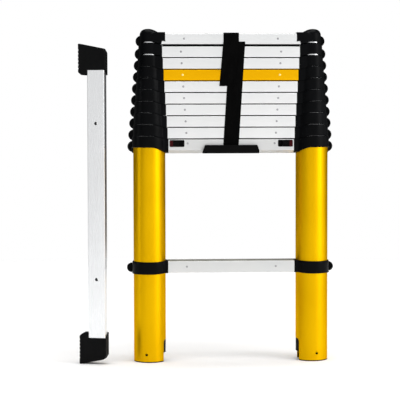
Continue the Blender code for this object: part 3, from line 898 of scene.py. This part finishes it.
def rung_tube(node, tongue=0.0, chamfer=0.0):
    low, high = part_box(node)
    loops = rung_section(high.y - low.y, high.z - low.z, chamfer)
    rung = across(node + "_tread", loops, low.x - tongue, high.x + tongue)
    return shift(rung, 0.0, (low.y + high.y) / 2, (low.z + high.z) / 2)


def add_rung(node, body, metal, slot, screws, tongue=0.0):
    low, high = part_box(node)
    rung = rung_tube(node, tongue)
    paint_rung(rung, metal)
    place(rung, body, slot, node)
    z = (low.z + high.z) / 2 + SCREW_ABOVE_MIDDLE
    for side in SIDES:
        x = end_x(side, node) - side * SCREW_FROM_END
        add_screw("screw_%s_%s" % (node, side_name(side)), x, low.y, z, body, slot, screws)


def window_middle(side):
    width, height = WINDOW
    x = end_x(side, "button_rung") - side * (WINDOW_FROM_END + width / 2)
    return x, hi("button_rung").z - WINDOW_BELOW_TOP - height / 2


def add_button_rung():
    front = lo("button_rung").y
    rung = rung_tube("button_rung", chamfer=BUTTON_CHAMFER)
    tools = []
    for side in SIDES:
        x, z = window_middle(side)
        tool = upright("window", [box_outline(*WINDOW, WINDOW_CORNER)], -10 * MM, 6 * MM)
        tools.append(shift(tool, x, front, z))
    cut(rung, *tools)
    # The button rung takes the darker copy of the rung metal: painted shade
    paint_rung(rung, SHADED_RUNG_METAL)
    place(rung, "base", "bare_aluminium", "button_rung")
    for side in SIDES:
        x, z = window_middle(side)
        add_window_liner(side, x, front, z)
        add_button(side, x, front, z)
        inboard = x - side * (WINDOW[0] / 2 + WINDOW_TO_SCREW)
        add_screw("screw_button_rung_" + side_name(side), inboard, front, z,
                  "base", "bare_aluminium", SCREW_STEEL)


def add_window_liner(side, x, y, z):
    """The dark housing behind a window, open to the front, that the button slides in."""
    front = RUNG_WALL + 0.2 * MM
    width, height = WINDOW
    outer = box_outline(width + 15 * MM, height + 6.4 * MM, 2 * MM)
    inner = box_outline(width + 12 * MM, height + 4 * MM, 1.5 * MM)
    liner = upright("button_housing_" + side_name(side), [outer], front, front + 13 * MM)
    cut(liner, upright("pocket", [inner], front - MM, front + 11 * MM))
    paint(shift(liner, x + side * 1.0 * MM, y, z), BUTTON_BLACK, bevel=0.3 * MM)
    place(liner, "base", "button_plastic")


def add_button(side, x, y, z):
    """A ribbed slide with a red outer end."""
    name = "release_slide_" + side_name(side)
    body = "release_" + side_name(side)
    node = "release_button_" + side_name(side)
    low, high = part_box(node)
    height = high.z - low.z
    front = low.y - y
    outer_end = side * (WINDOW[0] / 2 - GAP)
    grip_length = BUTTON_LENGTH - BUTTON_TIP
    grip = upright(name, [box_outline(grip_length, height, 1.6 * MM)], front + 0.5 * MM, BUTTON_BACK)
    width, depth, pitch = BUTTON_GROOVE
    grooves = []
    for place_in_row in (-2, -1, 0, 1, 2):
        outline = box_outline(width, height * 2, 0.2 * MM)
        groove = upright("groove", [outline], front - MM, front + depth)
        grooves.append(shift(groove, place_in_row * pitch))
    cut(grip, *grooves)
    grip_x = x + outer_end - side * (BUTTON_TIP + grip_length / 2)
    paint(shift(grip, grip_x, y, z), BUTTON_BLACK, bevel=0.25 * MM)
    place(grip, body, "button_plastic", node)
    tip = upright(name + "_tip", [box_outline(BUTTON_TIP - 0.1 * MM, height, 2.2 * MM)], front, BUTTON_BACK)
    paint(shift(tip, x + outer_end - side * BUTTON_TIP / 2, y, z), BUTTON_RED, bevel=0.3 * MM)
    place(tip, body, "button_plastic")


# ---- handle and strap

def handle_outline(inset):
    """The handle from the front, or the recess in it, which is smaller by inset all round."""
    low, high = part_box("carry_handle")
    half, top = (high.x - low.x) / 2, high.z - low.z - inset
    left, right = -half + inset * 1.2, half - inset
    points = [(left, inset), (right, inset), (right, HANDLE_SHOULDER),
              (half - HANDLE_TAPER[1] - inset * 0.8, top), (left + HANDLE_TAPER[0], top)]
    return fillet(points, [radius * MM for radius in (2, 2, 5, 2, 2)])


def add_handle():
    low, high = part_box("carry_handle")
    depth = high.y - low.y
    middle = (low.x + high.x) / 2
    handle = upright("carry_handle_grip", [handle_outline(0.0)], -depth, 0.0)
    panel = upright("panel", [handle_outline(2.2 * MM)], -depth - MM, -depth + 0.8 * MM)
    slot = upright("slot", [rectangle(-22 * MM, -5 * MM, 22 * MM, 30 * MM)], -4.5 * MM, 2 * MM)
    shift(slot, MIDDLE_X - middle)
    front = -depth + 3 * MM
    groove = across("groove", [rectangle(front, -MM, front + 1.6 * MM, 0.9 * MM)], -60 * MM, 60 * MM)
    cut(handle, panel, slot, groove)
    paint(shift(handle, middle, high.y, low.z), HANDLE_PLASTIC, bevel=0.8 * MM)
    place(handle, "base", "collar_plastic", "carry_handle")


def add_layer(name, path, step, *nodes):
    """A layer of webbing with lengthwise ridges, along (x, y, z) points, in planes across X."""
    path = spaced(path, step)
    tangent = np.gradient(path[:, 1:], axis=0)
    tangent /= np.linalg.norm(tangent, axis=1)[:, None]
    normal = np.column_stack([-tangent[:, 1], tangent[:, 0]])
    profile = []
    ridges, steps = 6, 18
    for i in range(steps + 1):
        half = STRAP_THICK * (0.5 + 0.12 * math.cos(2 * math.pi * ridges * i / steps))
        if i in (0, steps):
            half = STRAP_THICK * 0.25
        profile.append(((i / steps - 0.5) * STRAP_WIDTH, half))
    ring = profile + [(a, -b) for a, b in reversed(profile)]
    rows = []
    for centre, out in zip(path, normal):
        rows.append([(centre[0] + a, centre[1] + out[0] * b, centre[2] + out[1] * b) for a, b in ring])
    layer = loft(name, rows, "caps")
    paint(layer, WEBBING, smooth=40)
    place(layer, "section_10", "webbing", *nodes)


def add_stitches(x, y, low, high, width):
    """Rows of thread across and along the sewn end of a strap."""
    pieces = []

    def stitch(px, pz, length, height):
        thread = upright("thread", [box_outline(length, height, 0.28 * MM)], -0.3 * MM, 0.25 * MM)
        pieces.append(shift(thread, px, y, pz))

    count = int(width / STITCH_PITCH)
    for z in (low, high):
        for i in range(count):
            stitch(x + (i - (count - 1) / 2) * STITCH_PITCH, z, STITCH, 0.6 * MM)
    for edge in (-1, 1):
        for i in range(1, int((high - low) / STITCH_PITCH)):
            stitch(x + edge * width / 2, low + i * STITCH_PITCH, 0.6 * MM, STITCH)
    for piece in pieces:
        paint(piece, WEBBING, smooth=30)
    pieces[0].name = "strap_stitching"
    join(pieces[0], *pieces[1:])
    place(pieces[0], "section_10", "webbing")


def lean(z, high, low):
    """The strap's middle at height z, on the line between two (height, sideways) places."""
    return MIDDLE_X + low[1] + (high[1] - low[1]) * (z - low[0]) / (high[0] - low[0])


def add_strap():
    """Two layers: one from the handle up over the rungs, one sewn on from over the top rung."""
    rung_low, rung_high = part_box("top_rung")
    front, back, top = rung_low.y, rung_high.y, rung_high.z
    under = front - STRAP_CLEAR - STRAP_THICK / 2
    over = under - STRAP_THICK - 0.12 * MM
    under_top = top - UNDER_FROM_TOP
    under_end = lo("closure_strap").z + 1 * MM
    over_end = hi("rung_05").z + OVER_TO_RUNG_5

    path = [(lean(z, (under_top, UNDER_LEAN[0]), (under_end, UNDER_LEAN[1])), under, z)
            for z in np.linspace(under_top, under_end, 12)]
    add_layer("strap_under", path, 3 * MM)

    clear = STRAP_CLEAR + STRAP_THICK / 2
    reach = STRAP_BEND + clear
    bend_z = top + TREAD_RIB + 0.1 * MM + clear - reach
    sewn, loose_end = (under_top, 0.0), (over_end, OVER_LEAN)
    path = [(MIDDLE_X, back + clear, top - OVER_DOWN_BACK)]
    for bend_y, start in ((back - STRAP_BEND, 0), (front + STRAP_BEND, 90)):
        path += [(MIDDLE_X, y, z) for y, z in arc((bend_y, bend_z), reach, start, start + 90, 8)]
    path.append((MIDDLE_X, under, under_top + 7 * MM))
    path.append((lean(under_top + 1 * MM, sewn, loose_end), over, under_top + 1 * MM))
    path += [(lean(z, (under_top, -0.4 * MM), loose_end), over, z)
             for z in np.linspace(under_top - 4 * MM, over_end, 10)]
    add_layer("strap_over", path, 2 * MM, "closure_strap")
    add_stitches(lean(over_end + 8 * MM, sewn, loose_end), over - STRAP_THICK * 0.62,
                 over_end + 5 * MM, over_end + 32 * MM, STRAP_WIDTH - 7 * MM)


# ---- stabiliser bar

def bar_frame():
    """World matrix of the bar's own frame: its middle on the floor, turned to its yaw."""
    low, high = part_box("stabiliser_bar")
    place_at = Matrix.Translation(((low.x + high.x) / 2, (low.y + high.y) / 2, 0.0))
    return place_at @ Matrix.Rotation(BAR_YAW, 4, "Z")


def add_bar():
    low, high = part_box("stabiliser_bar")
    loops = [box_outline(BAR_WIDTH, BAR_DEPTH, 1.6 * MM),
             box_outline(BAR_WIDTH - 2 * BAR_WALL, BAR_DEPTH - 2 * BAR_WALL, 0.6 * MM)]
    bar = extrude("stabiliser_bar_profile", loops, low.z, high.z)
    middle = (low.z + high.z) / 2
    holes_middle = middle + BAR_HOLE_RISE
    cut(bar, *[drill(BAR_HOLE_R, 0.0, holes_middle + sign * BAR_HOLE_SPACING / 2) for sign in SIDES])
    paint(bar, BAR_METAL, bevel=0.25 * MM)
    bar.data.transform(bar_frame())
    place(bar, "stabiliser_bar_loose", "bare_aluminium", "stabiliser_bar")
    add_boot("bar_boot_lower", False, 2 * middle)
    add_boot("bar_boot_upper", True, 2 * middle)


def add_boot(node, flip, total):
    """A rubber sleeve with a foot pad to one side. The pad's face has tread grooves."""
    half = BAR_WIDTH / 2
    side, foot = half + BOOT_WALL, -half - BOOT_REACH
    points = [(foot, 0.0), (foot + 4.5 * MM, 0.0), (side - 6 * MM, 11.5 * MM), (side, 22 * MM),
              (side, BOOT_HEIGHT), (foot + 8 * MM, BOOT_HEIGHT), (foot, BOOT_HEIGHT - 7 * MM)]
    outline = fillet(points, [radius * MM for radius in (1.5, 1.5, 5, 5, 1, 5, 3)])
    depth = BAR_DEPTH / 2 + BOOT_WALL
    boot = upright(node + "_moulding", [outline], -depth, depth)
    sleeve = box_outline(BAR_WIDTH + 0.5 * MM, BAR_DEPTH + 0.5 * MM, 1.6 * MM)
    tools = [extrude("pocket", [sleeve], 21.7 * MM, 0.2), front_trim(half, side, depth)]
    first, pitch, width, deep = [size * MM for size in BOOT_GROOVES]
    for index in range(6):
        z = first + index * pitch
        groove = rectangle(foot - MM, z, foot + deep, z + width)
        tools.append(upright("groove", [groove], -50 * MM, 50 * MM))
    cut(boot, *tools)
    if flip:
        boot.data.transform(Matrix.Translation((0, 0, total)) @ Matrix.Diagonal((1, 1, -1, 1)))
        outward(boot)
    paint(boot, RUBBER, bevel=0.7 * MM)
    boot.data.transform(bar_frame())
    place(boot, "stabiliser_bar_loose", "boot_rubber", node)


def front_trim(half, side, depth):
    """Cuts the sleeve back on the bar's front, sloping up towards the rear."""
    front, rear, above = -depth - MM, depth + MM, BOOT_HEIGHT + 14 * MM
    outline = [(front, 64 * MM), (-depth + 3 * MM, 64 * MM), (rear, 77 * MM), (rear, above), (front, above)]
    return across("trim", [outline], -half - 0.2 * MM, side + 10 * MM)


# ---- build

for side in SIDES:
    add_outer_stile(side)
    add_lower_collar(side)
    for section in range(1, SECTIONS + 1):
        add_collar(section, side)
        if section > 1:
            add_inner_stile(section, side)

PLAIN = (RUNG_METAL, "bare_aluminium", SCREW_STEEL)
COATED = (YELLOW_PLATE, "yellow_coat", SCREW_GILT)
# The lower rung takes the darker copy of the rung metal: painted shade
add_rung("lower_rung", "base", SHADED_RUNG_METAL, "bare_aluminium", SCREW_STEEL)
for section in range(2, SECTIONS + 1):
    finish = COATED if section == YELLOW_RUNG else PLAIN
    tongue = RUNG_TONGUE if section == SECTIONS else 0.0
    add_rung(rung_node(section), body_of_section(section), *finish, tongue)
    # Painted shade in the gap under the rung
    add_shade_strip(section)
add_button_rung()
add_handle()
add_strap()
add_bar()


# ---- stage, light, camera

# Brightness of the studio, by degrees from its front, positive to the right
STUDIO = [(-180, 0.08), (-150, 0.16), (-95, 0.20), (-60, 0.38), (-25, 0.90), (0, 0.97),
          (60, 1.0), (100, 0.85), (122, 0.08), (180, 0.08)]
OVERHEAD = 0.5  # and of what is above, compared with that
FLOOR_R = 2.6
KEY_PLACE = (2.6, -1.6, 1.3)
KEY_TARGET = (0.0, 0.0, 0.4)
KEY_SIZE = (1.6, 2.2)
KEY_POWER = 34.0
SUN_STRENGTH = 2.7
SUN_SPREAD = 60.0
LENS = 131.67
CAMERA_PLACE = (-0.202, -3.600, 0.603)
CAMERA_TILT = math.radians(90) - 0.0432
CAMERA_ROLL = 0.0022
CAMERA_PAN = -0.0515
CAMERA_SHIFT = -0.05


def add_floor():
    made = Nodes("pale_floor", (0.93, 0.93, 0.93), 0.7, 0.0, Specular_IOR_Level=0.1)
    made.roughen(made.noise((3.0, 3.0, 3.0)), 0.65, 0.75)
    profile = [(0.0, 0.0), (1.2, 0.0), (FLOOR_R, 0.0)]
    floor = lathe("floor", profile, 96, centre=(0.0, 0.0, -0.2 * MM), ends="open")
    paint(floor, made.material)


def add_world():
    """Plain white to the camera. STUDIO lights the object: it is dark behind, to draw its edges."""
    world = bpy.data.worlds.new("studio")
    bpy.context.scene.world = world
    world.use_nodes = True
    tree = world.node_tree
    direction = add_node(tree, "TexCoord")
    split = add_node(tree, "SeparateXYZ")
    behind = add_node(tree, "Math", operation="MULTIPLY")
    behind.inputs[1].default_value = -1.0
    angle = add_node(tree, "Math", operation="ARCTAN2")
    fraction = add_node(tree, "MapRange", From_Min=-math.pi, From_Max=math.pi)
    ramp = add_node(tree, "ValToRGB")
    overhead = add_node(tree, "MapRange", interpolation_type="SMOOTHSTEP",
                        From_Min=0.30, From_Max=0.80, To_Min=1.0, To_Max=OVERHEAD)
    seen = add_node(tree, "LightPath")
    white = add_node(tree, "Background", Color=(1.0, 1.0, 1.0, 1.0))
    reflected = tree.nodes["Background"]
    choose = add_node(tree, "MixShader")
    for start, output, end, socket in (
            (direction, "Generated", split, "Vector"),
            (split, "Y", behind, 0),
            (split, "X", angle, 0),
            (behind, "Value", angle, 1),
            (angle, "Value", fraction, "Value"),
            (fraction, "Result", ramp, "Fac"),
            (split, "Z", overhead, "Value"),
            (overhead, "Result", reflected, "Strength"),
            (ramp, "Color", reflected, "Color"),
            (seen, "Is Camera Ray", choose, 0),
            (reflected, "Background", choose, 1),
            (white, "Background", choose, 2),
            (choose, "Shader", tree.nodes["World Output"], "Surface")):
        tree.links.new(start.outputs[output], end.inputs[socket])
    while len(ramp.color_ramp.elements) < len(STUDIO):
        ramp.color_ramp.elements.new(0.5)
    for element, (degrees, value) in zip(ramp.color_ramp.elements, STUDIO):
        element.position = (degrees + 180) / 360
        element.color = (value, value, value, 1.0)


def add_key():
    data = bpy.data.lights.new("key", "AREA")
    data.shape = "RECTANGLE"
    data.size, data.size_y = KEY_SIZE
    data.energy = KEY_POWER
    light = new_object("key", data)
    light.location = KEY_PLACE
    light.rotation_euler = (Vector(KEY_TARGET) - Vector(KEY_PLACE)).to_track_quat("-Z", "Y").to_euler()


def add_overhead_sun():
    """A broad soft light from straight above: it whitens the floor and leaves soft contact shadows."""
    data = bpy.data.lights.new("overhead", "SUN")
    data.energy = SUN_STRENGTH
    data.angle = math.radians(SUN_SPREAD)
    new_object("overhead", data)


def add_camera():
    data = bpy.data.cameras.new("camera")
    data.sensor_width = 36.0
    data.lens = LENS
    data.shift_y = CAMERA_SHIFT
    data.clip_end = 200.0
    camera = new_object("camera", data)
    camera.location = CAMERA_PLACE
    camera.rotation_euler = (CAMERA_TILT, CAMERA_ROLL, CAMERA_PAN)
    bpy.context.scene.camera = camera


add_floor()
add_world()
add_key()
add_overhead_sun()
add_camera()
bpy.context.scene.view_settings.view_transform = "Standard"
